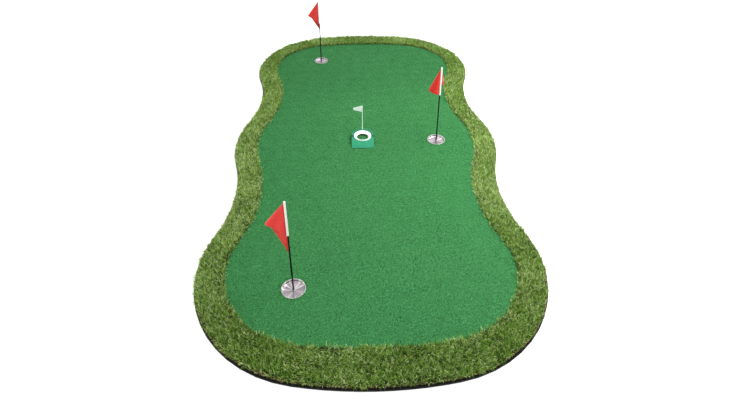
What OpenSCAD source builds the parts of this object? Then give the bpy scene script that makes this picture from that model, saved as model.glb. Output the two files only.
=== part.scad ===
// Practice putting mat. A wavy green of short pile is framed by a fringe of long pile, and both
// lie on one foam underlay. Three spun dish cups drop into holes in the green. Each holds a
// lift-out flagstick whose white sleeve turns with its pennant. A loose ramp cup with a small
// flag of its own stands in the middle.
// Millimetres, +Z up, +Y along the mat. The origin is the centre of the underside.

/* [Mat outline] */
// Length of the underlay
mat_l = 3048; // [2950:2:3150]
// Width of the underlay across the bulges
mat_w = 1524; // [1480:2:1600]
// Depth of each waist, measured from the bulges
waist_dip = 78; // [60:1:90]
// Radius of the bulge at mid length
bulge_r = 680; // [620:1:740]
// Radius of the hollow of each waist
waist_r = 875; // [820:1:940]
// Radius of the four corners
corner_r = 554; // [500:1:570]

/* [Green outline] */
// Length of the green
green_l = 2734; // [2640:2:2760]
// Width of the green across its bulges
green_w = 1274; // [1260:2:1320]
// Depth of each waist of the green
green_dip = 84; // [70:1:95]
// Radius of the green's bulge at mid length
green_bulge_r = 633; // [580:1:680]
// Radius of the green's waists
green_waist_r = 900; // [860:1:960]
// Radius of the green's corners
green_corner_r = 391; // [340:1:410]

/* [Mat layers] */
// Thickness of the foam underlay
foam_t = 9; // [8:0.5:12]
// Width of the foam left showing outside the fringe
foam_ledge = 8; // [4:0.5:10]
// Thickness of the latex backing under both turfs
backing_t = 2; // [1.5:0.1:3]
// Length of the fringe pile
fringe_pile_t = 25; // [18:1:30]
// Length of the green's pile
green_pile_t = 9; // [6:0.5:10]
// Width of the tape under the seam
tape_w = 70; // [50:2:100]
// Thickness of the tape
tape_t = 1; // [0.6:0.1:1.5]
// Width of the cut between the green and the fringe
seam_gap = 1; // [0.5:0.1:2]

/* [Cups] */
// Place of the near cup
near_cup = [-330, -1081]; // [-1100:5:1100]
// Place of the right cup
right_cup = [417, -3]; // [-1100:5:1100]
// Place of the far cup
far_cup = [-313, 1074]; // [-1100:5:1100]
// Outer radius of the cup's flange
flange_r = 52; // [51:0.5:56]
// Outer radius of the cup's bowl
bowl_r = 48.5; // [46:0.5:49]
// Thickness of the spun sheet
sheet_t = 1.5; // [1.2:0.1:2]
// Radius of the hub in the middle of the cup
hub_r = 7; // [6:0.5:8]
// Height of the hub above the cup's floor
hub_h = 8; // [7:0.5:10]

/* [Flagsticks] */
// Radius of the rod
rod_r = 3.5; // [3:0.1:4]
// Height of the tip above the floor
stick_top = 495; // [440:5:520]
// Length of the white sleeve, without its cap
sleeve_l = 170; // [150:2:190]
// Wall of the sleeve
sleeve_wall = 0.8; // [0.7:0.1:1.4]
// Heading of the near, right and far pennants
flag_headings = [166, 200, 148]; // [0:1:359]
// Near pennant's fold: out along its heading, to the side, and down from the stick's top
near_fold = [100, -29, 148]; // [-160:1:160]
// Near pennant's own tip, in the same way
near_tip = [12, -14, 273]; // [-160:1:280]
// Right pennant's fold
right_fold = [47, -34, 150]; // [-160:1:160]
// Right pennant's tip
right_tip = [-112, -149, 196]; // [-160:1:280]
// Far pennant's fold
far_fold = [117, -24, 134]; // [-160:1:160]
// Far pennant's tip
far_tip = [62, -81, 254]; // [-160:1:280]
// Width of a fold
flag_fold_w = 18; // [10:1:24]

/* [Practice cup] */
// Place of the ring's centre
practice_at = [-19, 17]; // [-100:1:100]
// Width of the base
base_w = 129; // [125:1:140]
// Distance from the ring's centre to the foot of the ramp
base_front = 98; // [90:1:104]
// Height of the deck above the green
deck_h = 16; // [14:1:20]
// Height of the backstop above the deck
backstop_h = 10; // [6:1:14]
// Wall of the moulded base
base_wall = 2.5; // [2:0.1:3]
// Outer radius of the white ring
ring_r = 51; // [50:0.5:53]
// Radius of the opening in the ring
ring_hole_r = 34; // [32:0.5:36]
// Height of the small flag's tip above the floor
small_top = 210; // [190:2:240]

/* [Hidden] */
STATIONS = [
    ["near", near_cup, flag_headings[0], near_fold, near_tip],
    ["right", right_cup, flag_headings[1], right_fold, right_tip],
    ["far", far_cup, flag_headings[2], far_fold, far_tip],
];
MAT_NODES = [
    "foam_underlay", "seam_tape", "fringe_backing", "green_backing", "fringe_pile", "green_pile",
];
STATION_PIECES = ["cup_shell", "cup_hub", "hub_screw", "flag_rod", "flag_sleeve", "sleeve_cap", "flag"];
PRACTICE_NODES = ["practice_base", "practice_ring", "practice_flag"];

$fn = 96;
run_clear = 0.05;   // radial gap of a part that turns or slides on another
rest_gap = 0.3;     // gap between two bodies that only face each other
past = 1;           // how far a cutting solid runs past the face that it cuts

backing_z = foam_t;
pile_z = backing_z + backing_t;
green_z = pile_z + green_pile_t;
hole_r = bowl_r + 1.5;          // hole through the foam and the turf
flange_bed_z = green_z - 1.6;   // the flange presses this far into the pile

// Cup heights
flange_z = flange_bed_z + rest_gap;
cup_floor_z = 6.5;
cup_deck_z = cup_floor_z + sheet_t;
hub_top_z = cup_deck_z + hub_h;
socket_z = cup_deck_z + 2;      // bottom of the rod's socket
screw_r = 2;
screw_head_r = 3.6;
screw_head_h = 2.1;

// Flagstick heights
sleeve_bore_r = rod_r + run_clear;
sleeve_r = sleeve_bore_r + sleeve_wall;
cap_h = 3;
cap_plug_h = 4;
sleeve_top_z = stick_top - cap_h;
sleeve_z = sleeve_top_z - sleeve_l;
rod_top_z = sleeve_top_z - cap_plug_h - rest_gap;

// Practice cup heights
base_z = green_z + rest_gap;
deck_z = green_z + deck_h;
base_r = base_w / 2;
ring_seat_r = ring_r - 4;
backstop_wall = 7.5;
socket_at = base_r - backstop_wall / 2;
small_r = 2;
small_socket_h = 14;

// Points of an arc about c, from angle a0 to a1, without its last point.
function arc(c, r, a0, a1, n) =
    [for (i = [0 : n - 1]) let (a = a0 + (a1 - a0) * i / n) [c[0] + r * cos(a), c[1] + r * sin(a)]];

// One quarter of the outline: a bulge at mid length, a hollow waist, a corner and a nearly flat
// end, four arcs that meet as tangents. The end's radius follows from the other three.
function quarter(hw, hl, dip, rb, rw, rc, inset) =
    let (
        yw = sqrt(pow(rb + rw, 2) - pow(rb + rw - dip, 2)),
        xw = hw - dip + rw,
        xc = hw - rc,
        yc = yw + sqrt(pow(rc + rw, 2) - pow(rc + rw - dip, 2)),
        re = (xc * xc + pow(hl - yc, 2) - rc * rc) / (2 * (hl - yc - rc)),
        ye = hl - re,
        a_bulge = atan2(yw, xw - hw + rb),
        a_waist = atan2(yc - yw, xc - xw),
        a_corner = atan2(yc - ye, xc)
    )
    concat(
        arc([hw - rb, 0], rb - inset, 0, a_bulge, 4),
        arc([xw, yw], rw + inset, a_bulge + 180, a_waist, 9),
        arc([xc, yc], rc - inset, a_waist - 180, a_corner, 14),
        arc([0, ye], re - inset, a_corner, 90, 5)
    );

// The quarter mirrored into a closed outline, counter-clockwise.
function mirrored(q, hl) =
    let (
        n = len(q),
        back = [for (i = [n - 1 : -1 : 1]) [-q[i][0], q[i][1]]],
        top = concat(q, [[0, hl]], back),
        m = len(top),
        under = [for (i = [0 : m - 1]) [-top[i][0], -top[i][1]]]
    )
    concat(top, under);

function mat_outline(inset) =
    mirrored(quarter(mat_w / 2, mat_l / 2, waist_dip, bulge_r, waist_r, corner_r, inset), mat_l / 2 - inset);

function green_outline(inset) =
    mirrored(
        quarter(green_w / 2, green_l / 2, green_dip, green_bulge_r, green_waist_r, green_corner_r, inset),
        green_l / 2 - inset
    );

// A layer of the mat, from a height up.
module layer(outline, z, h) {
    translate([0, 0, z]) linear_extrude(height = h) polygon(outline);
}

// Round holes for the cups through a layer.
module cup_holes(r, z, h) {
    for (s = STATIONS) translate([s[1][0], s[1][1], z]) cylinder(r = r, h = h);
}

module foam_underlay() {
    color([0.03, 0.03, 0.03])
        difference() {
            layer(mat_outline(0), 0, foam_t);
            difference() {
                layer(green_outline(-tape_w / 2), foam_t - tape_t, tape_t + past);
                layer(green_outline(tape_w / 2), foam_t - tape_t - past, tape_t + 3 * past);
            }
            cup_holes(hole_r, -past, foam_t + 2 * past);
        }
}

module seam_tape() {
    color([0.12, 0.12, 0.13])
        difference() {
            layer(green_outline(-tape_w / 2), foam_t - tape_t, tape_t);
            layer(green_outline(tape_w / 2), foam_t - tape_t - past, tape_t + 2 * past);
        }
}

// A band from the underlay's ledge in to the seam.
module fringe_band(z, h) {
    difference() {
        layer(mat_outline(foam_ledge), z, h);
        layer(green_outline(-seam_gap / 2), z - past, h + 2 * past);
    }
}

module fringe_backing() {
    color([0.16, 0.15, 0.13]) fringe_band(backing_z, backing_t);
}

module fringe_pile() {
    color([0.42, 0.55, 0.22]) fringe_band(pile_z, fringe_pile_t);
}

module green_backing() {
    color([0.10, 0.11, 0.10])
        difference() {
            layer(green_outline(seam_gap / 2), backing_z, backing_t);
            cup_holes(hole_r, backing_z - past, backing_t + 2 * past);
        }
}

module green_pile() {
    color([0.18, 0.52, 0.27])
        difference() {
            layer(green_outline(seam_gap / 2), pile_z, green_pile_t);
            cup_holes(hole_r, pile_z - past, green_pile_t + 2 * past);
            cup_holes(flange_r + rest_gap, flange_bed_z, green_pile_t);
        }
}

// The spun dish: a flange that lies on the pile, a straight wall, a rounded foot and a flat floor.
module cup_shell() {
    foot_r = 5;
    inner_r = bowl_r - sheet_t;
    top_z = flange_z + sheet_t;
    screw_hole_r = screw_r + 0.2;
    outer_foot = [for (a = [0 : -15 : -90])
        [bowl_r - foot_r + foot_r * cos(a), cup_floor_z + foot_r + foot_r * sin(a)]];
    inner_foot = [for (a = [-90 : 15 : 0])
        [bowl_r - foot_r + (foot_r - sheet_t) * cos(a), cup_floor_z + foot_r + (foot_r - sheet_t) * sin(a)]];
    color([0.80, 0.80, 0.82])
        rotate_extrude()
            polygon(concat(
                [[inner_r, top_z - 1], [inner_r + 1, top_z], [flange_r - 0.5, top_z],
                 [flange_r, top_z - 0.5], [flange_r, flange_z], [bowl_r, flange_z]],
                outer_foot,
                [[screw_hole_r, cup_floor_z], [screw_hole_r, cup_deck_z]],
                inner_foot
            ));
}

// The turned hub: a socket for the rod above and a tapped hole for the screw below.
module cup_hub() {
    socket_r = rod_r + run_clear;
    color([0.66, 0.66, 0.68])
        difference() {
            rotate_extrude()
                polygon([
                    [0, cup_deck_z], [hub_r, cup_deck_z], [hub_r, hub_top_z - 1.5],
                    [hub_r - 1.5, hub_top_z], [0, hub_top_z],
                ]);
            translate([0, 0, socket_z]) cylinder(r = socket_r, h = hub_h);
            translate([0, 0, cup_deck_z - past]) cylinder(r = screw_r + run_clear, h = hub_h);
        }
}

// A pan-head screw that holds the hub to the floor of the dish from below.
module hub_screw() {
    head_z = cup_floor_z - screw_head_h;
    color([0.55, 0.55, 0.57])
        difference() {
            union() {
                rotate_extrude()
                    polygon([
                        [0, head_z], [screw_head_r - 0.8, head_z], [screw_head_r, head_z + 0.8],
                        [screw_head_r, cup_floor_z], [0, cup_floor_z],
                    ]);
                translate([0, 0, head_z + past]) cylinder(r = screw_r, h = socket_z - head_z - past - 0.2);
            }
            for (a = [0, 90]) rotate(a) translate([-2, -0.4, head_z - past]) cube([4, 0.8, past + 0.9]);
        }
}

// The fibreglass rod, with both ends chamfered.
module flag_rod() {
    foot_z = socket_z + rest_gap;
    color([0.03, 0.03, 0.03])
        rotate_extrude()
            polygon([
                [0, foot_z], [rod_r - 0.8, foot_z], [rod_r, foot_z + 0.8],
                [rod_r, rod_top_z - 0.8], [rod_r - 0.8, rod_top_z], [0, rod_top_z],
            ]);
}

module flag_sleeve() {
    color([0.95, 0.95, 0.93])
        translate([0, 0, sleeve_z])
            difference() {
                cylinder(r = sleeve_r, h = sleeve_l);
                translate([0, 0, -past]) cylinder(r = sleeve_bore_r, h = sleeve_l + 2 * past);
            }
}

// The cap closes the sleeve, and its plug carries the sleeve on the top of the rod.
module sleeve_cap() {
    color([0.90, 0.90, 0.88])
        rotate_extrude()
            polygon([
                [0, sleeve_top_z - cap_plug_h], [sleeve_bore_r, sleeve_top_z - cap_plug_h],
                [sleeve_bore_r, sleeve_top_z], [sleeve_r, sleeve_top_z],
                [sleeve_r, stick_top - 1.2], [sleeve_r - 1.2, stick_top], [0, stick_top],
            ]);
}

// The limp pennant as the wedge between its two layers: a thin strip bonded along the sleeve, the
// fold that stands out from it, and the tip of the layer that hangs back past the rod.
module flag(fold, tip) {
    strip_t = 1;
    tip_w = 6;
    color([0.86, 0.13, 0.10])
        difference() {
            hull() {
                translate([sleeve_r, -strip_t, sleeve_z + 1]) cube([strip_t, strip_t, sleeve_l - 3]);
                translate([fold[0] - strip_t, fold[1], stick_top - fold[2]])
                    cube([strip_t, flag_fold_w, 6]);
                translate([tip[0] - tip_w / 2, tip[1], stick_top - tip[2]]) cube([tip_w, strip_t, 4]);
            }
            translate([0, 0, green_z]) cylinder(r = sleeve_r + run_clear, h = stick_top);
        }
}

// The plan of the practice base: square in front, half round behind.
module base_plan(r, front) {
    union() {
        circle(r = r);
        translate([-r, -front]) square([2 * r, front]);
    }
}

// The base's body seen from the side: a ramp in front, then a flat deck.
module ramp_prism(drop) {
    lip = 1.2;
    foot = base_z - past * (drop > 0 ? 1 : 0);
    rotate([90, 0, 90])
        translate([0, 0, -base_w])
            linear_extrude(height = 2 * base_w)
                polygon([
                    [-base_front, foot], [base_w, foot], [base_w, deck_z - drop],
                    [-ring_r - 1 + drop / 2, deck_z - drop], [-base_front, base_z + lip - drop],
                ]);
}

module practice_base() {
    wall_z = deck_z - past;
    at_practice() color([0.06, 0.42, 0.27])
        difference() {
            union() {
                intersection() {
                    translate([0, 0, base_z]) linear_extrude(height = deck_h + past) base_plan(base_r, base_front);
                    ramp_prism(0);
                }
                intersection() {
                    translate([0, 0, wall_z])
                        difference() {
                            cylinder(r = base_r, h = backstop_h + past);
                            translate([0, 0, -past]) cylinder(r = base_r - backstop_wall, h = backstop_h + 3 * past);
                        }
                    translate([-base_w, -4, wall_z]) cube([2 * base_w, base_w, backstop_h + 2 * past]);
                }
            }
            difference() {
                intersection() {
                    translate([0, 0, base_z - past])
                        linear_extrude(height = deck_h) base_plan(base_r - base_wall, base_front - base_wall);
                    ramp_prism(base_wall);
                }
                translate([0, socket_at - 1, base_z - 2 * past]) cylinder(r = 5, h = deck_h + 4 * past);
                difference() {
                    cylinder(r = ring_seat_r + base_wall, h = deck_z);
                    translate([0, 0, -past]) cylinder(r = ring_seat_r - past, h = deck_z + 2 * past);
                }
            }
            translate([0, 0, base_z - past]) cylinder(r = ring_seat_r, h = deck_h + 2 * past);
            translate([0, socket_at, deck_z + backstop_h - small_socket_h])
                cylinder(r = small_r + run_clear, h = small_socket_h + past);
        }
}

// The white ring: a flange on the deck, a funnel down to the opening and a locating skirt.
module practice_ring() {
    lip_h = 8;
    skirt_r = ring_seat_r - 0.1;
    at_practice() color([0.95, 0.96, 0.94])
        translate([0, 0, deck_z])
            rotate_extrude()
                polygon([
                    [ring_r, 0], [ring_r, lip_h - 1], [ring_r - 1, lip_h], [ring_r - 2.5, lip_h],
                    [ring_hole_r + 0.7, -3.2], [ring_hole_r, -4], [ring_hole_r, -5], [ring_hole_r + 0.7, -5.6],
                    [skirt_r - 1.6, 4], [skirt_r - 1.6, -9], [skirt_r, -9], [skirt_r, 0],
                ]);
}

// The small flag, moulded in one piece: a thin stick and a blunt pennant.
module practice_flag() {
    foot_z = deck_z + backstop_h - small_socket_h + rest_gap;
    top_r = 1.5;
    at_practice() translate([0, socket_at, 0]) color([0.95, 0.96, 0.95])
        union() {
            translate([0, 0, foot_z]) cylinder(r = small_r, h = small_socket_h + 4);
            translate([0, 0, foot_z + small_socket_h + 4])
                cylinder(r1 = small_r, r2 = top_r, h = small_top - foot_z - small_socket_h - 4);
            rotate([90, 0, 0])
                translate([0, 0, -0.8])
                    linear_extrude(height = 1.6)
                        polygon([
                            [0, small_top], [-53, small_top - 14], [-53, small_top - 26], [0, small_top - 42],
                        ]);
        }
}

module at_practice() {
    translate([practice_at[0], practice_at[1], 0]) children();
}

// One piece of station s, by name, at the origin.
module station_piece(s, piece) {
    if (piece == "cup_shell") cup_shell();
    if (piece == "cup_hub") cup_hub();
    if (piece == "hub_screw") hub_screw();
    if (piece == "flag_rod") flag_rod();
    if (piece == "flag_sleeve") flag_sleeve();
    if (piece == "sleeve_cap") sleeve_cap();
    if (piece == "flag") flag(s[3], s[4]);
}

foam_underlay();
seam_tape();
fringe_backing();
green_backing();
fringe_pile();
green_pile();
for (s = STATIONS)
    for (piece = STATION_PIECES)
        translate([s[1][0], s[1][1], 0]) rotate(s[2]) station_piece(s, piece);
practice_base();
practice_ring();
practice_flag();
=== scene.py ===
# %% [markdown]
# # A practice putting mat
# The mat is a green of short, dense pile with a fringe of longer pile round it. Both are sewn to a
# foam underlay. Three dish cups hold lift-out flagsticks, and a loose ramp cup stands in the
# middle. The CAD model is loaded first and is never moved: it says where every piece goes.

# %% Load the frame
import math

import bmesh
import bpy
import numpy as np
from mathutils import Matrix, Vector


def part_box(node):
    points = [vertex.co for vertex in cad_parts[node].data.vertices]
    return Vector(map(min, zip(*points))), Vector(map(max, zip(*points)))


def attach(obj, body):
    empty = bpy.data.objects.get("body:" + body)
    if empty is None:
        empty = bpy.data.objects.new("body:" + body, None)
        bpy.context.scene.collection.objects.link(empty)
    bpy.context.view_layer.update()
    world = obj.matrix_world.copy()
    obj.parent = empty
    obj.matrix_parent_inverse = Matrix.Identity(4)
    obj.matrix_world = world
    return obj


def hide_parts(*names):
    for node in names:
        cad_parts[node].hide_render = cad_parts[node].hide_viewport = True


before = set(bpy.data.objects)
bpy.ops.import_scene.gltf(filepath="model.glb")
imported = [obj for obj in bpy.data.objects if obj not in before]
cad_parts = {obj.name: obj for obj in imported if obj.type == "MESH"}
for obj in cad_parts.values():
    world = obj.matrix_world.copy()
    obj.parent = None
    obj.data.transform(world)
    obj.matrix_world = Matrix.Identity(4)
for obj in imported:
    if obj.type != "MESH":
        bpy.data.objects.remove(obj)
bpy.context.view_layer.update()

scene = bpy.context.scene
MM = 0.001

# %% [markdown]
# ## The view
# A wide lens looks down the mat from head height. Its axis meets the floor a little past the
# middle of the mat. The lens is shifted down to bring the near end into the frame, because tilting
# it further would make the upright flagsticks lean outwards more.

# %% Camera
SENSOR_MM = 36.0
LENS_MM = 26.1796
SHIFT_DOWN = 0.122449  # as a share of the frame's width
EYE = (-0.062, -2.608, 1.822)
PITCH_DOWN = math.radians(31.42)
TURN_RIGHT = math.radians(1.575)

camera_data = bpy.data.cameras.new("camera")
camera_data.sensor_width = SENSOR_MM
camera_data.lens = LENS_MM
camera_data.shift_y = -SHIFT_DOWN
camera = bpy.data.objects.new("camera", camera_data)
camera.location = EYE
camera.rotation_euler = (math.pi / 2 - PITCH_DOWN, 0.0, -TURN_RIGHT)
scene.collection.objects.link(camera)
scene.camera = camera
print("lens", round(camera_data.lens, 2), "mm")

# %% [markdown]
# ## Colours and nodes
# Colours are picked as sRGB hex values, as on a screen, and Blender's shaders work in linear
# light. One function turns the first into the second, and one adds a shader node.

# %% Helpers for materials
def colour(hex_value):
    """Linear RGBA of an sRGB hex colour.

    Each channel c becomes c / 12.92 below 0.04045, and ((c + 0.055) / 1.055) ^ 2.4 above it.
    """
    srgb = np.array([int(hex_value[i:i + 2], 16) for i in (1, 3, 5)]) / 255
    linear = np.where(srgb <= 0.04045, srgb / 12.92, ((srgb + 0.055) / 1.055) ** 2.4)
    return (*linear.tolist(), 1.0)


def add(tree, kind, links=(), inputs=(), **settings):
    """Adds a node. settings are its properties, inputs its values and links its sources."""
    made = tree.nodes.new(kind)
    for name, value in settings.items():
        setattr(made, name, value)
    for socket, value in dict(inputs).items():
        made.inputs[socket].default_value = value
    for socket, source in dict(links).items():
        tree.links.new(source, made.inputs[socket])
    return made


def material(name, **shader):
    """A material with one Principled BSDF, whose sockets are set from shader.

    Returns the material, its tree and the BSDF.
    """
    made = bpy.data.materials.new(name)
    made.use_nodes = True
    tree = made.node_tree
    bsdf = next(n for n in tree.nodes if n.type == "BSDF_PRINCIPLED")
    for socket, value in shader.items():
        bsdf.inputs[socket.replace("_", " ")].default_value = value
    return made, tree, bsdf


def ramp(tree, source, stops, interpolation="LINEAR"):
    """A colour ramp from source, with (position, hex colour) stops."""
    made = add(tree, "ShaderNodeValToRGB", {"Fac": source})
    made.color_ramp.interpolation = interpolation
    elements = made.color_ramp.elements
    while len(elements) < len(stops):
        elements.new(1.0)
    for element, (position, hex_value) in zip(elements, stops):
        element.position = position
        element.color = colour(hex_value)
    return made.outputs["Color"]


def dress(name, made):
    """Gives a CAD node or a piece its material, in place of any that it has."""
    data = bpy.data.objects[name].data
    data.materials.clear()
    data.materials.append(made)


# %% [markdown]
# ## Studio
# A pale floor that glows a little stays white, and broad soft lamps keep the shadows faint, so
# that the turf shows its own colour. The key stands high at the near left and the fill at the
# right. A weak, long strip past the far end is there for the turned cups to reflect, and a lower
# lamp lights the fringe along the right-hand waist.

# %% Floor and lights
SKY_STRENGTH = 0.66
FLOOR_GLOW = 0.32
FLOOR_HALF = 30.0

scene.view_settings.view_transform = "Standard"

world = bpy.data.worlds.new("studio")
scene.world = world
world.use_nodes = True
background = world.node_tree.nodes["Background"]
background.inputs["Color"].default_value = colour("#ffffff")
background.inputs["Strength"].default_value = SKY_STRENGTH


def area_light(name, place, aim, size, power):
    """A soft rectangular lamp at place that points at aim.

    size is (width, height) in metres, and power is in watts.
    """
    data = bpy.data.lights.new(name, "AREA")
    data.shape = "RECTANGLE"
    data.size, data.size_y = size
    data.energy = power
    lamp = bpy.data.objects.new(name, data)
    lamp.location = place
    direction = np.array(place, float) - np.array(aim, float)
    lamp.rotation_mode = "QUATERNION"
    lamp.rotation_quaternion = Vector(direction).to_track_quat("Z", "Y")
    scene.collection.objects.link(lamp)


area_light("key", (-2.6, -2.2, 4.2), (0, 0, 0), (2.4, 2.4), 96)
area_light("fill", (3.2, 1.0, 3.6), (0, 0, 0), (2.4, 2.4), 55)
area_light("strip", (0.0, 3.4, 3.4), (0, 0.3, 0), (3.0, 0.8), 10)
area_light("near_the_waist", (1.3, -0.2, 1.9), (0.5, -0.1, 0), (1.4, 1.4), 74)

floor_mesh = bpy.data.meshes.new("floor")
floor_mesh.from_pydata(
    [(x * FLOOR_HALF, y * FLOOR_HALF, 0) for x, y in ((-1, -1), (1, -1), (1, 1), (-1, 1))],
    [], [(0, 1, 2, 3)],
)
floor = bpy.data.objects.new("floor", floor_mesh)
scene.collection.objects.link(floor)
floor_paint, _, _ = material("matt_floor_paint", Base_Color=colour("#fafaf9"), Roughness=0.9,
                             Emission_Color=colour("#ffffff"), Emission_Strength=FLOOR_GLOW)
dress("floor", floor_paint)

# %% [markdown]
# ## The outlines
# Mat and green have the same kind of outline: a bulge at mid length, a hollow waist on each side
# of it, wide corners and nearly flat ends. Each quarter is four arcs that meet as tangents, so
# the curve is worked out once and mirrored. Every arc after the first starts where the last ends.

# %% Outline of tangent arcs
CAD_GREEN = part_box("green_pile")
CAD_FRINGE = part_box("fringe_pile")
CAD_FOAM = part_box("foam_underlay")
MAT_SHAPE = dict(dip=0.078, bulge=0.680, waist=0.875, corner=0.554)
GREEN_SHAPE = dict(dip=0.084, bulge=0.633, waist=0.900, corner=0.391)
HALF_CUT = 0.0005  # half of the cut between the green and the fringe


def arc(centre, radius, start, end, count):
    """Points centre + radius (cos a, sin a), with a going evenly from start to just before end."""
    angle = np.linspace(start, end, count, endpoint=False)
    return np.column_stack([centre[0] + radius * np.cos(angle), centre[1] + radius * np.sin(angle)])


def outline(half_w, half_l, dip, bulge, waist, corner, count=160):
    """Closed outline, counter-clockwise from (half_w, 0).

    Two circles of radius a and b that touch from opposite sides, with centres dip closer in x than
    a + b, lie sqrt((a + b)^2 - (a + b - dip)^2) apart in y. That places the waist and the corner.
    The end's radius makes its circle touch both the corner's circle and the end line.
    """
    waist_y = math.sqrt((bulge + waist) ** 2 - (bulge + waist - dip) ** 2)
    corner_y = waist_y + math.sqrt((corner + waist) ** 2 - (corner + waist - dip) ** 2)
    waist_x, corner_x = half_w - dip + waist, half_w - corner
    end_y = half_l - corner_y
    end = (corner_x ** 2 + end_y ** 2 - corner ** 2) / (2 * (end_y - corner))
    leave_bulge = math.atan2(waist_y, waist_x - half_w + bulge)
    leave_waist = math.atan2(corner_y - waist_y, corner_x - waist_x)
    leave_corner = math.atan2(corner_y - half_l + end, corner_x)
    quarter = np.vstack([
        arc((half_w - bulge, 0), bulge, 0, leave_bulge, count),
        arc((waist_x, waist_y), waist, leave_bulge + math.pi, leave_waist, count),
        arc((corner_x, corner_y), corner, leave_waist - math.pi, leave_corner, count),
        arc((0, half_l - end), end, leave_corner, math.pi / 2, count),
        [[0, half_l]],
    ])
    far_half = np.vstack([quarter, (quarter * [-1, 1])[-2:0:-1]])
    return np.vstack([far_half, -far_half])


class Edge:
    """An outline as distance from the centre against direction, since every ray crosses it once."""

    def __init__(self, points):
        self.points = points
        step = np.roll(points, -1, 0) - np.roll(points, 1, 0)
        normal = np.column_stack([step[:, 1], -step[:, 0]])
        self.normal = normal / np.linalg.norm(normal, axis=1)[:, None]
        self.angle = np.unwrap(np.arctan2(points[:, 1], points[:, 0]))
        self.radius = np.hypot(points[:, 0], points[:, 1])

    def at(self, points):
        """Each point's distance inside the outline, and the outline's outward normal beside it.

        The distance is (outline radius - own radius) along the ray, times normal . ray.
        """
        angle = np.mod(np.arctan2(points[:, 1], points[:, 0]), 2 * math.pi)
        radius = np.interp(angle, self.angle, self.radius, period=2 * math.pi)
        normal = np.column_stack([
            np.interp(angle, self.angle, self.normal[:, i], period=2 * math.pi) for i in (0, 1)
        ])
        ray = np.column_stack([np.cos(angle), np.sin(angle)])
        gap = (radius - np.hypot(points[:, 0], points[:, 1])) * (normal * ray).sum(1)
        return gap, normal


foam_edge = Edge(outline(CAD_FOAM[1].x, CAD_FOAM[1].y, **MAT_SHAPE))
seam_edge = Edge(outline(CAD_GREEN[1].x + HALF_CUT, CAD_GREEN[1].y + HALF_CUT, **GREEN_SHAPE))
LEDGE = CAD_FOAM[1].x - CAD_FRINGE[1].x
cad_corners = np.array([v.co[:2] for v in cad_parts["fringe_backing"].data.vertices])
outer_gap, inner_gap = foam_edge.at(cad_corners)[0], seam_edge.at(cad_corners)[0]
off = np.minimum(abs(outer_gap - LEDGE), abs(inner_gap))
print("CAD outline is within", round(float(off.max()) * 1000, 2), "mm of the curves")

# %% [markdown]
# ## Meshes from arrays
# Turf is hundreds of thousands of blades, so the meshes are made from whole arrays of points and
# faces, and never with a loop over them.

# %% Mesh builder
def new_piece(name, points, quads=(), triangles=(), smooth=False, **point_values):
    """An object at the origin from arrays of points, quads and triangles.

    point_values become attributes of the points.
    """
    quads = np.asarray(quads, np.int32).reshape(-1, 4)
    triangles = np.asarray(triangles, np.int32).reshape(-1, 3)
    mesh = bpy.data.meshes.new(name)
    mesh.vertices.add(len(points))
    mesh.vertices.foreach_set("co", np.asarray(points, np.float32).ravel())
    corners = np.concatenate([quads.ravel(), triangles.ravel()])
    mesh.loops.add(len(corners))
    mesh.loops.foreach_set("vertex_index", corners)
    starts = np.concatenate([
        np.arange(len(quads)) * 4,
        quads.size + np.arange(len(triangles)) * 3,
    ])
    mesh.polygons.add(len(starts))
    mesh.polygons.foreach_set("loop_start", starts.astype(np.int32))
    mesh.polygons.foreach_set("use_smooth", np.full(len(starts), smooth))
    mesh.update(calc_edges=True)
    for key, values in point_values.items():
        layer = mesh.attributes.new(key, "FLOAT", "POINT")
        layer.data.foreach_set("value", np.asarray(values, np.float32))
    piece = bpy.data.objects.new(name, mesh)
    scene.collection.objects.link(piece)
    return piece


def triangles_in(piece):
    """Number of triangles in a piece's mesh."""
    return sum(len(p.vertices) - 2 for p in piece.data.polygons)


rng = np.random.default_rng(20)


# %% [markdown]
# ## Cups in the green
# Each cup's centre is the middle of its CAD shell. No tuft grows where a flange or a hole is.

# %% Places of the cups
STATIONS = ("near", "right", "far")
cups = {}
for station in STATIONS:
    low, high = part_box(station + "_cup_shell")
    cups[station] = np.array([(low.x + high.x) / 2, (low.y + high.y) / 2])
FLANGE_R = (high.x - low.x) / 2
print("cups at", {k: v.round(3).tolist() for k, v in cups.items()})


def clear_of_cups(points, margin):
    """True where a point is more than margin outside every flange."""
    gaps = [np.hypot(*(points - centre).T) - FLANGE_R for centre in cups.values()]
    return np.min(gaps, axis=0) > margin


# %% [markdown]
# ## Slow variation
# Tufted pile never lies quite evenly: patches a hand wide lean one way or catch more light. A sum
# of a few sine waves with seeded directions makes such patches, the same ones every time.

# %% Patches
def patches(points, size, waves=9):
    """Smooth noise of about -1 to 1 over the plane, whose patches are about size metres wide.

    It is the mean of sin(k . p + phase) over random directions of k, with |k| near pi / size.
    """
    heading = rng.uniform(0, 2 * math.pi, waves)
    number = math.pi / size * rng.uniform(0.6, 1.5, waves)
    phase = rng.uniform(0, 2 * math.pi, waves)
    k = np.column_stack([np.cos(heading), np.sin(heading)]) * number[:, None]
    return np.sin(points @ k.T + phase).sum(1) / math.sqrt(waves)


# %% [markdown]
# ## The long fringe
# Landscape turf: flat ribbons of polyethylene, 25 mm long, tufted five to a stitch and leaning
# every way, over crimped tan thatch. A particle system could scatter them, but blades
# worked out as arrays give the same lawn each run and export as plain mesh. A real blade is
# 1.2 mm wide and would be lost at this distance, so each is drawn about twice as wide.

# %% Grow blades
MIDDLE_SHARE = 0.85  # width of a blade at mid length, as a share of its width at the root


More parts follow.
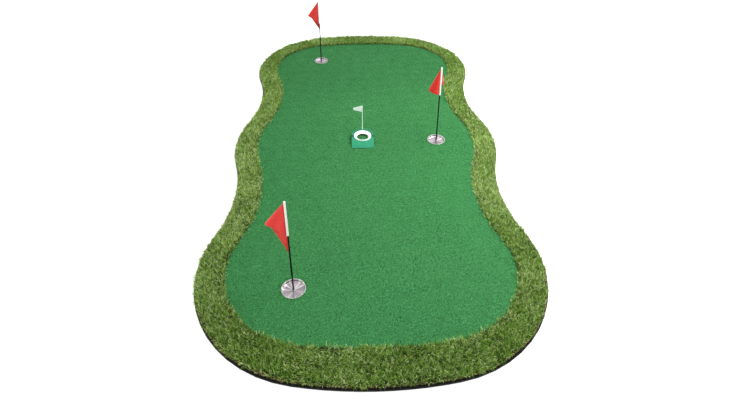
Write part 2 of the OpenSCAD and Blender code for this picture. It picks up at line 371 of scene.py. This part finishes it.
def grow(name, root, heading, lean, length, width, facing, body="mat", **values):
    """Ribbons of five points: two at the root, two at mid length and one at the tip.

    A blade of length L leans by angle q at its tip and q / 2 at its middle, so its middle is at
    L/2 (sin q/2, cos q/2) and its tip at that plus L/2 (sin q, cos q), along its heading.
    """
    count = len(root)
    along = np.column_stack([np.cos(heading), np.sin(heading), np.zeros(count)])
    up = np.array([0.0, 0.0, 1.0])
    half = (length / 2)[:, None]
    middle = root + half * (np.sin(lean / 2)[:, None] * along + np.cos(lean / 2)[:, None] * up)
    tip = middle + half * (np.sin(lean)[:, None] * along + np.cos(lean)[:, None] * up)
    side = np.column_stack([np.cos(facing), np.sin(facing), np.zeros(count)]) * (width / 2)[:, None]
    waist = MIDDLE_SHARE * side
    points = np.stack([root - side, root + side, middle - waist, middle + waist, tip], 1)
    first = np.arange(count)[:, None] * 5
    piece = new_piece(
        name,
        points.reshape(-1, 3),
        quads=first + [0, 1, 3, 2],
        triangles=first + [2, 3, 4],
        height=np.tile([0.0, 0.0, 0.55, 0.55, 1.0], count),
        **{key: np.repeat(value, 5) for key, value in values.items()},
    )
    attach(piece, body)
    return piece


FRINGE_ROOT_Z = CAD_FRINGE[0].z
BLADE_L = CAD_FRINGE[1].z - CAD_FRINGE[0].z
TUFTS_PER_M2 = 26000
BLADES_IN_TUFT = 5
BLADE_W_MM = (2.2, 3.4)
SPLAY_REACH = 0.010  # how far from an edge its rows still splay over it


def scatter(per_m2, inner, outer, inner_gap, outer_gap):
    """Even random points outside one outline by inner_gap and inside the other by outer_gap."""
    half = np.array([outer.points[:, 0].max(), outer.points[:, 1].max()])
    points = rng.uniform(-half, half, (int(per_m2 * 4 * half[0] * half[1]), 2))
    keep = outer.at(points)[0] > outer_gap
    if inner is not None:
        keep &= inner.at(points)[0] < -inner_gap
    return points[keep]


tufts = scatter(TUFTS_PER_M2, seam_edge, foam_edge, 0.001, LEDGE + 0.001)
tufts = tufts[np.argsort(np.arctan2(tufts[:, 1], tufts[:, 0]))]
to_foam, foam_normal = foam_edge.at(tufts)
to_seam, seam_normal = seam_edge.at(tufts)

# Rows at an edge have no neighbours on that side, so they splay over it.
over_foam = np.exp(-(to_foam - LEDGE) / SPLAY_REACH)[:, None] * foam_normal
over_seam = np.exp(to_seam / SPLAY_REACH)[:, None] * -seam_normal
drift = np.column_stack([patches(tufts, 0.12), patches(tufts, 0.12)]) * 0.35
loose = rng.normal(0, 0.45, (len(tufts), 2))
tuft_lean = drift + loose + 0.5 * over_foam + 0.7 * over_seam

# Painted light and shade along the mat: the fringe's tone is raised a little before the middle,
# which the lamps light most, and lowered towards both ends, which they light less.
PAINTED_LIGHT_Y = (-1.50, -1.20, -0.60, 0.20, 0.80, 1.50)
PAINTED_LIGHT_TONE = (-0.10, -0.01, 0.08, 0.05, -0.06, -0.07)
tuft_tone = (0.57 + np.interp(tufts[:, 1], PAINTED_LIGHT_Y, PAINTED_LIGHT_TONE) + 0.05 * patches(tufts, 0.18)
             + rng.normal(0, 0.10, len(tufts)))

each = BLADES_IN_TUFT
blade_root = np.repeat(tufts, each, 0) + rng.normal(0, 1.3 * MM, (len(tufts) * each, 2))
blade_dir = np.repeat(tuft_lean, each, 0) + rng.normal(0, 0.75, (len(tufts) * each, 2))
blade_count = len(blade_root)
blades = dict(
    root=np.column_stack([blade_root, np.full(blade_count, FRINGE_ROOT_Z)]),
    heading=np.arctan2(blade_dir[:, 1], blade_dir[:, 0]),
    lean=np.clip(0.20 + 0.52 * np.hypot(*blade_dir.T), 0.08, 1.4),
    length=BLADE_L * rng.normal(1.12, 0.12, blade_count).clip(0.7, 1.4),
    width=rng.uniform(*BLADE_W_MM, blade_count) * MM,
    facing=rng.uniform(0, math.pi, blade_count),
    tone=np.repeat(tuft_tone, each) + rng.normal(0, 0.30, blade_count),
)

FRINGE_PIECES = 5
fringe_pieces = []
for part, rows in enumerate(np.array_split(np.arange(blade_count), FRINGE_PIECES), 1):
    chosen = {key: values[rows] for key, values in blades.items()}
    fringe_pieces.append(grow("fringe_blades_%d" % part, **chosen))
print(blade_count, "fringe blades;", [triangles_in(p) for p in fringe_pieces], "triangles")

# %% [markdown]
# ## Thatch
# Between the blades stands a shorter, crimped yarn in tan and brown, which holds them upright. It
# shows at the outer edge and deep between the blades. Each strand is a zigzag ribbon.

# %% Crimp the thatch
def crimp(name, root, heading, height, width, body="mat", **values):
    """Zigzag ribbons of four rungs. Rung i is at i / 3 of the height, aside by its own sway."""
    count = len(root)
    along = np.column_stack([np.cos(heading), np.sin(heading), np.zeros(count)])
    across = np.column_stack([-np.sin(heading), np.cos(heading), np.zeros(count)])
    swing = along * (height * 0.35)[:, None]
    side = across * (width / 2)[:, None]
    rungs = []
    for i, sway in enumerate((0.0, 1.0, -0.6, 0.9)):
        centre = root + swing * sway + np.array([0, 0, 1.0]) * (height * i / 3)[:, None]
        rungs += [centre - side, centre + side]
    first = np.arange(count)[:, None, None] * 8
    quads = first + np.array([[0, 1, 3, 2], [2, 3, 5, 4], [4, 5, 7, 6]])
    piece = new_piece(
        name,
        np.stack(rungs, 1).reshape(-1, 3),
        quads=quads.reshape(-1, 4),
        height=np.tile([0.0, 0.0, 0.33, 0.33, 0.67, 0.67, 1.0, 1.0], count),
        **{key: np.repeat(value, 8) for key, value in values.items()},
    )
    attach(piece, body)
    return piece


THATCH_PER_M2 = 5000
RIM_PER_M2 = 160000  # the last rows stand bare, so they show far more of their thatch
inside = scatter(THATCH_PER_M2, seam_edge, foam_edge, 0.002, LEDGE + 0.002)
rim = scatter(RIM_PER_M2, foam_edge, foam_edge, -(LEDGE + 0.006), LEDGE - 0.002)
thatch_at = np.vstack([inside, rim])
thatch_count = len(thatch_at)
thatch = crimp(
    "fringe_thatch",
    np.column_stack([thatch_at, np.full(thatch_count, FRINGE_ROOT_Z)]),
    heading=rng.uniform(0, 2 * math.pi, thatch_count),
    height=rng.uniform(5, 11, thatch_count) * MM,
    width=rng.uniform(1.2, 2.0, thatch_count) * MM,
    tone=rng.uniform(0, 1, thatch_count),
)
print(len(inside), "strands inside,", len(rim), "at the rim;", triangles_in(thatch), "triangles")

# %% [markdown]
# ## Beds
# Under the blades a dense bed of yarn and thatch lets no light through. It is a copy of the CAD
# pile with its top lowered, so that it keeps the outline and the cup holes exactly.

# %% Lower the piles
def bed(name, node, top, body="mat"):
    """A copy of a CAD pile whose highest points come down to top. It stands for that node."""
    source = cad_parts[node]
    mesh = source.data.copy()
    mesh.name = name
    points = np.empty(len(mesh.vertices) * 3, np.float32)
    mesh.vertices.foreach_get("co", points)
    points = points.reshape(-1, 3)
    points[:, 2] = np.minimum(points[:, 2], top)
    mesh.vertices.foreach_set("co", points.ravel())
    piece = bpy.data.objects.new(name, mesh)
    scene.collection.objects.link(piece)
    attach(piece, body)
    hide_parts(node)
    return piece


GREEN_TOP = CAD_GREEN[1].z
green_bed = bed("green_bed", "green_pile", GREEN_TOP - 0.0022)
fringe_bed = bed("fringe_bed", "fringe_pile", FRINGE_ROOT_Z + 0.008)

# %% [markdown]
# ## The short green
# Putting turf is texturised nylon, cropped to 9 mm and so dense that it reads as fine grain. The
# yarn is curly, so its ends point every way. Only the ends stand above the bed, so each is one
# small triangle, drawn a little large so that the grain still shows from head height.

# %% Crop the green
GREEN_TIPS_PER_M2 = 150000
ends = scatter(GREEN_TIPS_PER_M2, None, seam_edge, 0.0, 0.0015)
ends = ends[clear_of_cups(ends, 0.0006)]
ends = ends[np.argsort(ends[:, 1])]
end_count = len(ends)


def crop(name, at, root_z, tip_z, width, heading, reach, body="mat", **values):
    """Triangles with two points at root_z, width apart, and one at tip_z, set aside by reach."""
    count = len(at)
    across = np.column_stack([-np.sin(heading), np.cos(heading), np.zeros(count)])
    across = across * (width / 2)[:, None]
    ahead = np.column_stack([np.cos(heading), np.sin(heading), np.zeros(count)]) * reach[:, None]
    root = np.column_stack([at, np.full(count, root_z)])
    tip = np.column_stack([at, tip_z]) + ahead
    points = np.stack([root - across, root + across, tip], 1)
    piece = new_piece(
        name,
        points.reshape(-1, 3),
        triangles=np.arange(count * 3).reshape(-1, 3),
        height=np.tile([0.0, 0.0, 1.0], count),
        **{key: np.repeat(value, 3) for key, value in values.items()},
    )
    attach(piece, body)
    return piece


to_flange = np.min([np.hypot(*(ends - centre).T) - FLANGE_R for centre in cups.values()], axis=0)
in_shade = 1.2 * np.exp(-to_flange / 0.005) + 0.8 * np.exp(-seam_edge.at(ends)[0] / 0.0045)
green_tone = (0.56 + 0.05 * patches(ends, 0.35) + 0.06 * patches(ends, 0.06)
              + 0.15 * patches(ends, 0.012, 24) + 0.06 * patches(ends, 0.03, 24)
              + rng.normal(0, 0.19, end_count) - 0.7 * in_shade)
tips = dict(
    tip_z=GREEN_TOP + rng.normal(-0.2, 0.6, end_count).clip(-1.6, 1.2) * MM,
    width=rng.uniform(2.6, 4.6, end_count) * MM,
    heading=rng.uniform(0, 2 * math.pi, end_count),
    reach=rng.uniform(0.5, 3.0, end_count) * MM,
    tone=green_tone,
)
GREEN_PIECES = 3
green_pieces = []
for part, rows in enumerate(np.array_split(np.arange(end_count), GREEN_PIECES), 1):
    chosen = {key: values[rows] for key, values in tips.items()}
    green_pieces.append(crop("green_tips_%d" % part, ends[rows], GREEN_TOP - 0.0035, **chosen))
print(end_count, "yarn ends on the green")

# %% [markdown]
# ## Turf finishes
# Polyethylene ribbon is extruded, so it has a slight gloss and lets some light through. Makers mix
# two or three greens. A blade's own tone picks its green, and its root is darker, being in shade.

# %% Turf materials
def turf(name, stops, root_share, roughness, sheen=0.0):
    """Yarn whose colour follows the tone attribute through stops.

    It darkens to root_share of that at the root.
    """
    made, tree, bsdf = material(name, Roughness=roughness, Sheen_Weight=sheen,
                                Specular_IOR_Level=0.22)
    tone = add(tree, "ShaderNodeAttribute", attribute_name="tone")
    height = add(tree, "ShaderNodeAttribute", attribute_name="height")
    green = ramp(tree, tone.outputs["Fac"], stops)
    shade = add(tree, "ShaderNodeMapRange", {"Value": height.outputs["Fac"]},
                {"To Min": root_share})
    product = add(tree, "ShaderNodeVectorMath", {0: green, 1: shade.outputs[0]},
                  operation="MULTIPLY")
    tree.links.new(product.outputs[0], bsdf.inputs["Base Color"])
    return made


fringe_turf = turf(
    "extruded_polyethylene_ribbon",
    [(0.0, "#223f08"), (0.30, "#598a1a"), (0.6, "#92ba48"), (0.85, "#bcd97c"), (1.0, "#dcecb0")],
    root_share=0.26, roughness=0.6,
)
thatch_yarn = turf(
    "crimped_polypropylene_thatch",
    [(0.0, "#4d4424"), (0.5, "#847646"), (1.0, "#b8aa7c")],
    root_share=0.6, roughness=0.7,
)
green_turf = turf(
    "texturised_nylon_putting_pile",
    [(0.0, "#0a2a12"), (0.25, "#20682f"), (0.45, "#317f41"), (0.7, "#459a55"), (1.0, "#74ba7c")],
    root_share=0.6, roughness=0.75, sheen=0.1,
)
for piece in fringe_pieces:
    dress(piece.name, fringe_turf)
for piece in green_pieces:
    dress(piece.name, green_turf)
dress("fringe_thatch", thatch_yarn)


def matted(name, dark, light, grain_mm, roughness=0.85):
    """A dense mat of yarn or fibre.

    Noise of the grain's size picks between two colours and lifts the surface.
    """
    made, tree, bsdf = material(name, Roughness=roughness, Specular_IOR_Level=0.3)
    place = add(tree, "ShaderNodeTexCoord")
    noise = add(tree, "ShaderNodeTexNoise", {"Vector": place.outputs["Object"]},
                {"Scale": 1 / (grain_mm * MM * 2), "Detail": 3.0})
    yarn = ramp(tree, noise.outputs["Fac"], [(0.35, dark), (0.68, light)])
    tree.links.new(yarn, bsdf.inputs["Base Color"])
    bump = add(tree, "ShaderNodeBump", {"Height": noise.outputs["Fac"]},
               {"Strength": 0.6, "Distance": grain_mm * MM})
    tree.links.new(bump.outputs["Normal"], bsdf.inputs["Normal"])
    return made


dress("green_bed", matted("nylon_pile_bed", "#1c532a", "#388747", 3.0))
# The fringe's bed is near-black olive, far darker than its tan thatch: painted shade of the yarn
# deep between the blades.
dress("fringe_bed", matted("thatch_bed_painted_shade", "#16200a", "#3c4420", 3.0))
dress("fringe_backing", matted("latex_coated_backing", "#1b1a17", "#35332c", 2.0))
dress("green_backing", matted("latex_coated_green_backing", "#14170f", "#2c3524", 2.0))
dress("seam_tape", matted("woven_seam_tape", "#1a1a1c", "#2a2a2d", 1.5))
dress("foam_underlay", matted("closed_cell_eva_foam", "#060606", "#171717", 1.2, 0.95))

# %% [markdown]
# ## Pennants
# A pennant that hangs limp from a pole folds along straight lines from its top corner, which takes
# the load. Cloth hardly stretches, so each such line keeps its length, and the angles between
# neighbours stay as they were in the flat cloth: the cloth becomes part of a cone. A cone is a
# curve on the unit sphere whose arc length is the flat angle, and where that curve bends, the
# cloth folds. Blender's cloth solver then lets it settle for a few frames, and no more, because
# limp cloth left to itself crumples at the tip.

# %% Fold the pennants
HOIST = 0.166
FLY = 0.260
TIP_W = 0.009
CLOTH_T = 0.0004
WIDEST_DEG = 80     # the cloth's upper edge lies 73 degrees from the hoist, inside this
RIPPLE_BEND = 1.3   # a slow ripple across the cloth, beside its one sharp fold
RIPPLE_RATE = 14

# Degrees: the fold's angle from the hoist, its turn, the spread of that turn, and the heading.
PENNANTS = dict(near=(37, 187, 5.5, 166), right=(20, 150, 16, 200), far=(42, 160, 5.5, 148))


def cone_lines(fold, turn, spread, steps=900):
    """Directions of the cone's lines against the flat angle from the hoist, both as arrays.

    With n the direction, t its tangent on the sphere and b = n x t, a curve of geodesic curvature k
    obeys dn = t da and dt = (k b - n) da. k is a bell of width spread about the angle fold, scaled
    so that it turns by turn in all, and a slow ripple is added. Angles come in degrees.
    """
    angle = np.radians(np.linspace(0, WIDEST_DEG, steps))
    step = angle[1]
    bell = np.exp(-((np.degrees(angle) - fold) / spread) ** 2)
    ripple = RIPPLE_BEND * np.sin(angle * RIPPLE_RATE)
    bend = bell / (bell.sum() * step) * math.radians(turn) + ripple
    n, t = np.array([0.0, 0.0, -1.0]), np.array([1.0, 0.0, 0.0])
    lines = []
    for k in bend:
        lines.append(n)
        b = np.cross(n, t)
        n, t = (n * math.cos(step) + t * math.sin(step),
                t * math.cos(step) - n * math.sin(step))
        t = t * math.cos(k * step) + b * math.sin(k * step)
    return angle, np.array(lines)


def fold_pennant(name, centre, hoist_r, top, fold, turn, spread, heading, columns=44, rows=28):
    """A triangle of cloth, hoist HOIST and length FLY, folded as a cone about its top corner.

    A flat point x from the hoist and d below the top corner has r = |(x, d)| and lies on the line
    at angle atan2(x, d). Its place is r times that line's direction. The UV map is the flat cloth.
    """
    angle, lines = cone_lines(fold, turn, spread)
    u = np.linspace(0, 1, columns + 1)[:, None]
    v = np.linspace(0, 1, rows + 1)[None]
    height = HOIST * (1 - u) + TIP_W * u
    x = u * FLY + 0 * v
    d = HOIST / 2 - height / 2 + v * height
    flat_angle = np.arctan2(x, np.maximum(d, 1e-9))
    way = np.stack([np.interp(flat_angle, angle, lines[:, i]) for i in range(3)], -1)
    place = way / np.linalg.norm(way, axis=-1, keepdims=True) * np.hypot(x, d)[..., None]
    cos_h, sin_h = math.cos(math.radians(heading)), math.sin(math.radians(heading))
    out = place[..., 0] + hoist_r
    points = np.stack([
        centre[0] + out * cos_h - place[..., 1] * sin_h,
        centre[1] + out * sin_h + place[..., 1] * cos_h,
        top + place[..., 2],
    ], -1)
    index = np.arange((columns + 1) * (rows + 1)).reshape(columns + 1, rows + 1)
    quads = np.stack([index[:-1, :-1], index[1:, :-1], index[1:, 1:], index[:-1, 1:]], -1)
    piece = new_piece(name, points.reshape(-1, 3), quads=quads.reshape(-1, 4), smooth=True)
    flat = np.stack([x, d], -1).reshape(-1, 2)
    layer = piece.data.uv_layers.new(name="flat_cloth")
    corners = np.empty(len(piece.data.loops), np.int32)
    piece.data.loops.foreach_get("vertex_index", corners)
    layer.data.foreach_set("uv", flat[corners].astype(np.float32).ravel())
    piece.vertex_groups.new(name="hoist").add([int(i) for i in index[0]], 1.0, "REPLACE")
    return piece


def settle(piece, frames=4):
    """Lets a pennant hang from its hoist for some frames, then keeps that shape in its mesh."""
    cloth = piece.modifiers.new("settle", "CLOTH")
    cloth.settings.vertex_group_mass = "hoist"
    cloth.settings.quality = 8
    cloth.settings.mass = 0.1
    cloth.settings.tension_stiffness = cloth.settings.compression_stiffness = 40
    cloth.settings.shear_stiffness = 20
    cloth.settings.bending_stiffness = 20
    cloth.settings.air_damping = 4
    cloth.collision_settings.use_self_collision = True
    cloth.collision_settings.self_distance_min = 0.0012
    cloth.point_cache.frame_start, cloth.point_cache.frame_end = 1, frames
    for frame_number in range(1, frames + 1):
        scene.frame_set(frame_number)
    depsgraph = bpy.context.evaluated_depsgraph_get()
    hung = piece.evaluated_get(depsgraph)
    points = np.empty(len(piece.data.vertices) * 3, np.float32)
    hung.data.vertices.foreach_get("co", points)
    piece.modifiers.remove(cloth)
    piece.data.vertices.foreach_set("co", points)
    piece.data.update()
    scene.frame_set(1)


pennants = {}
for station, (fold, turn, spread, heading) in PENNANTS.items():
    low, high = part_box(station + "_flag_sleeve")
    piece = fold_pennant(
        station + "_pennant", cups[station], (high.x - low.x) / 2 + 0.0003, high.z - 0.002,
        fold, turn, spread, heading,
    )
    settle(piece)
    thick = piece.modifiers.new("cloth_thickness", "SOLIDIFY")
    thick.thickness, thick.offset = CLOTH_T, 0.0
    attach(piece, station + "_pennant")
    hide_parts(station + "_flag")
    pennants[station] = piece

# %% [markdown]
# ## Hard pieces
# The CAD meshes are loose triangles with knife edges. Each hard piece is a merged copy whose flat
# faces are whole again, so that its edges can be rounded as a mould or a lathe tool leaves them.

# %% Round the edges
def rounded(node, body, edge_mm, segments=2, sharp_deg=35):
    """A merged copy of a CAD node, with edges over sharp_deg rounded to edge_mm.

    It stands for the node.
    """
    mesh = bmesh.new()
    mesh.from_mesh(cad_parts[node].data)
    bmesh.ops.remove_doubles(mesh, verts=mesh.verts, dist=0.02 * MM)
    bmesh.ops.dissolve_degenerate(mesh, edges=mesh.edges, dist=0.02 * MM)
    bmesh.ops.dissolve_limit(mesh, angle_limit=math.radians(0.5), verts=mesh.verts,
                             edges=mesh.edges)
    data = bpy.data.meshes.new(node + "_finished")
    mesh.to_mesh(data)
    mesh.free()
    data.polygons.foreach_set("use_smooth", np.ones(len(data.polygons), bool))
    data.set_sharp_from_angle(angle=math.radians(sharp_deg))
    piece = bpy.data.objects.new(node + "_finished", data)
    scene.collection.objects.link(piece)
    if edge_mm:
        bevel = piece.modifiers.new("edge_radius", "BEVEL")
        bevel.width = edge_mm * MM
        bevel.segments = segments
        bevel.limit_method = "ANGLE"
        bevel.angle_limit = math.radians(sharp_deg)
        bevel.harden_normals = True
    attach(piece, body)
    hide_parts(node)
    return piece


# %% [markdown]
# ## Hard finishes
# The dishes are spun from aluminium sheet and faced on a lathe. The rings that the tool leaves
# spread light across them into bright rays from the centre, and here these rays are painted
# reflection in the metal's colour, with a painted highlight on the flange's lip. Moulded pieces
# have a fine spark-eroded grain, with a few patches rubbed smoother by handling.

# %% Finishes of the hard pieces
FEED_MM = 0.9
RUBBED_MM = 25


def lathe_turned(name, centre, shadow, dull, bright, rim, rim_r, roughness):
    """Metal with turning rings and rays about centre, an (x, y) place.

    The shine is stretched across the rings, whose direction at P is z x (P - centre). Noise read
    on the unit vector (P - centre) / |P - centre| changes with direction alone, and it paints rays
    of reflection into the base colour, from shadow over dull to bright. Past rim_r the colour is
    rim's, a painted highlight on the flange's lip. Rings in the bump, FEED_MM apart, are the tool's
    feed.
    """
    made, tree, bsdf = material(name, Metallic=1.0, Roughness=roughness, Anisotropic=0.6)
    place = add(tree, "ShaderNodeTexCoord")
    centred = add(tree, "ShaderNodeMapping", {"Vector": place.outputs["Object"]},
                  {"Location": (-centre[0], -centre[1], 0), "Scale": (1, 1, 0)})
    rings_way = add(tree, "ShaderNodeVectorMath", {1: centred.outputs[0]}, {0: (0, 0, 1)},
                    operation="CROSS_PRODUCT")
    tree.links.new(rings_way.outputs[0], bsdf.inputs["Tangent"])
    outward = add(tree, "ShaderNodeVectorMath", {0: centred.outputs[0]}, operation="NORMALIZE")
    # Painted reflection: the rays are noise on the direction from the centre, put into the base
    # colour.
    painted_rays = add(tree, "ShaderNodeTexNoise", {"Vector": outward.outputs[0]},
               {"Scale": 2.6, "Detail": 4.0, "Roughness": 0.6})
    radius = add(tree, "ShaderNodeVectorMath", {0: centred.outputs[0]}, operation="LENGTH")
    # Painted highlight: past rim_r the lip takes the rim colour.
    rim_highlight_mask = add(tree, "ShaderNodeMapRange", {"Value": radius.outputs["Value"]},
                   {"From Min": rim_r - 0.6 * MM, "From Max": rim_r + 0.6 * MM})
    painted_reflection = ramp(tree, painted_rays.outputs["Fac"],
                [(0.36, shadow), (0.46, dull), (0.54, dull), (0.62, bright)])
    shade = add(tree, "ShaderNodeMix", {"Factor": rim_highlight_mask.outputs[0], "A": painted_reflection},
                {"B": colour(rim)}, data_type="RGBA")
    tree.links.new(shade.outputs["Result"], bsdf.inputs["Base Color"])
    rings = add(tree, "ShaderNodeTexWave", {"Vector": centred.outputs[0]},
                {"Scale": 1 / (FEED_MM * MM) / 20, "Distortion": 0.6, "Detail": 2.0},
                wave_type="RINGS", rings_direction="Z")
    bump = add(tree, "ShaderNodeBump", {"Height": rings.outputs["Fac"]},
               {"Strength": 0.12, "Distance": 0.1 * MM})
    tree.links.new(bump.outputs["Normal"], bsdf.inputs["Normal"])
    return made


def moulded(name, hex_value, worn_hex, roughness, grain_mm=0.5, stretch=(1, 1, 1), **shader):
    """Plastic or plate with a fine grain, and patches RUBBED_MM wide that are rubbed glossier.

    stretch scales the pattern's axes, and a small z makes lines along z, as extrusion does.
    """
    made, tree, bsdf = material(name, **shader)
    place = add(tree, "ShaderNodeTexCoord")
    drawn = add(tree, "ShaderNodeMapping", {"Vector": place.outputs["Object"]}, {"Scale": stretch})
    rubbed = add(tree, "ShaderNodeTexNoise", {"Vector": drawn.outputs[0]},
                 {"Scale": 1 / (RUBBED_MM * MM), "Detail": 3.0})
    grain = add(tree, "ShaderNodeTexNoise", {"Vector": drawn.outputs[0]},
                {"Scale": 1 / (grain_mm * MM * 2), "Detail": 2.0})
    skin = ramp(tree, rubbed.outputs["Fac"], [(0.35, hex_value), (0.75, worn_hex)])
    tree.links.new(skin, bsdf.inputs["Base Color"])
    gloss = add(tree, "ShaderNodeMapRange", {"Value": rubbed.outputs["Fac"]},
                {"From Min": 0.3, "From Max": 0.7,
                 "To Min": roughness + 0.08, "To Max": roughness - 0.08})
    tree.links.new(gloss.outputs[0], bsdf.inputs["Roughness"])
    bump = add(tree, "ShaderNodeBump", {"Height": grain.outputs["Fac"]},
               {"Strength": 0.15, "Distance": 0.05 * MM})
    tree.links.new(bump.outputs["Normal"], bsdf.inputs["Normal"])
    return made


def plain_weave(name, hex_value, shade_hex, thread_mm, hem_mm=6):
    """Plain-woven cloth on a UV map in metres: two crossed waves, and a doubled hem at the hoist.

    Threads d apart are a sine of period d, which the wave texture makes at scale pi / (10 d). The
    hem is darkened to 0.8, as painted shade by the pole.
    """
    made, tree, bsdf = material(name, Roughness=0.62, Sheen_Weight=0.15, Specular_IOR_Level=0.3)
    place = add(tree, "ShaderNodeUVMap", uv_map="flat_cloth")
    threads = [
        add(tree, "ShaderNodeTexWave", {"Vector": place.outputs["UV"]},
            {"Scale": math.pi / (10 * thread_mm * MM), "Distortion": 0.4, "Detail": 1.0},
            bands_direction=way)
        for way in ("X", "Y")
    ]
    weave = add(tree, "ShaderNodeMath",
                {0: threads[0].outputs["Fac"], 1: threads[1].outputs["Fac"]}, operation="MULTIPLY")
    slubs = add(tree, "ShaderNodeTexNoise", {"Vector": place.outputs["UV"]},
                {"Scale": 1 / (12 * MM), "Detail": 4.0})
    axes = add(tree, "ShaderNodeSeparateXYZ", {"Vector": place.outputs["UV"]})
    # Painted shade by the pole: the cloth within hem_mm of the hoist is darkened to 0.8.
    hem_painted_shade = add(tree, "ShaderNodeMapRange", {"Value": axes.outputs["X"]},
              {"From Min": hem_mm * MM, "From Max": (hem_mm + 0.6) * MM,
               "To Min": 0.8, "To Max": 1.0})
    cloth = ramp(tree, slubs.outputs["Fac"], [(0.3, shade_hex), (0.7, hex_value)])
    dyed_and_shaded = add(tree, "ShaderNodeVectorMath", {0: cloth, 1: hem_painted_shade.outputs[0]}, operation="MULTIPLY")
    tree.links.new(dyed_and_shaded.outputs[0], bsdf.inputs["Base Color"])
    bump = add(tree, "ShaderNodeBump", {"Height": weave.outputs[0]},
               {"Strength": 0.35, "Distance": 0.1 * MM})
    tree.links.new(bump.outputs["Normal"], bsdf.inputs["Normal"])
    return made


zinc = moulded("zinc_plated_steel", "#a9abb0", "#c3c4c8", 0.35, 0.3, Metallic=1.0)
rod_gloss = moulded("pultruded_black_fibreglass", "#040404", "#0d0d0e", 0.5, 0.4,
                    stretch=(1, 1, 0.03), Specular_IOR_Level=0.15)
tube_white = moulded("extruded_white_tube", "#dcdbd4", "#e6e6e1", 0.38, 0.4,
                     stretch=(1, 1, 0.05))
cap_white = moulded("moulded_white_cap", "#d8d8d2", "#e4e4df", 0.42, 0.3)
pennant_red = plain_weave("woven_red_polyester", "#dd2b20", "#c81d14", 0.45)
for station in STATIONS:
    cup, stick, pennant = station + "_cup", station + "_stick", station + "_pennant"
    # The rays from shadow through dull to bright and the rim colours are painted reflection and
    # painted highlight in the metal's base colour.
    shell_metal = lathe_turned(
        station + "_spun_aluminium", cups[station], shadow="#857d82", dull="#b3aaaf",
        bright="#f4f1f3", rim="#c9d2c6", rim_r=FLANGE_R - 2.2 * MM, roughness=0.40,
    )
    hub_metal = lathe_turned(
        station + "_turned_aluminium", cups[station], shadow="#77797c", dull="#8d8f92",
        bright="#c9cacc", rim="#9c9ea1", rim_r=5.5 * MM, roughness=0.38,
    )
    for node, body, slot, edge, finish in (
        ("_cup_shell", cup, "spun_aluminium", 0.3, shell_metal),
        ("_cup_hub", cup, "turned_aluminium", 0.3, hub_metal),
        ("_hub_screw", cup, "screw_steel", 0.15, zinc),
        ("_flag_rod", stick, "black_fibreglass", 0.2, rod_gloss),
        ("_flag_sleeve", pennant, "white_tube", 0.2, tube_white),
        ("_sleeve_cap", pennant, "white_cap", 0.4, cap_white),
    ):
        dress(rounded(station + node, body, edge).name, finish)
    dress(pennants[station].name, pennant_red)

teal = moulded("moulded_teal_abs", "#0c7450", "#16835e", 0.38, 0.6)
white_abs = moulded("moulded_white_abs", "#eaf5ee", "#f4fbf6", 0.30, 0.6)
for node, body, slot, edge, finish in (
    ("practice_base", "practice_cup", "teal_plastic", 0.9, teal),
    ("practice_ring", "practice_cup", "white_plastic", 0.6, white_abs),
    ("practice_flag", "practice_stick", "white_plastic", 0.35, white_abs),
):
    dress(rounded(node, body, edge, segments=3).name, finish)
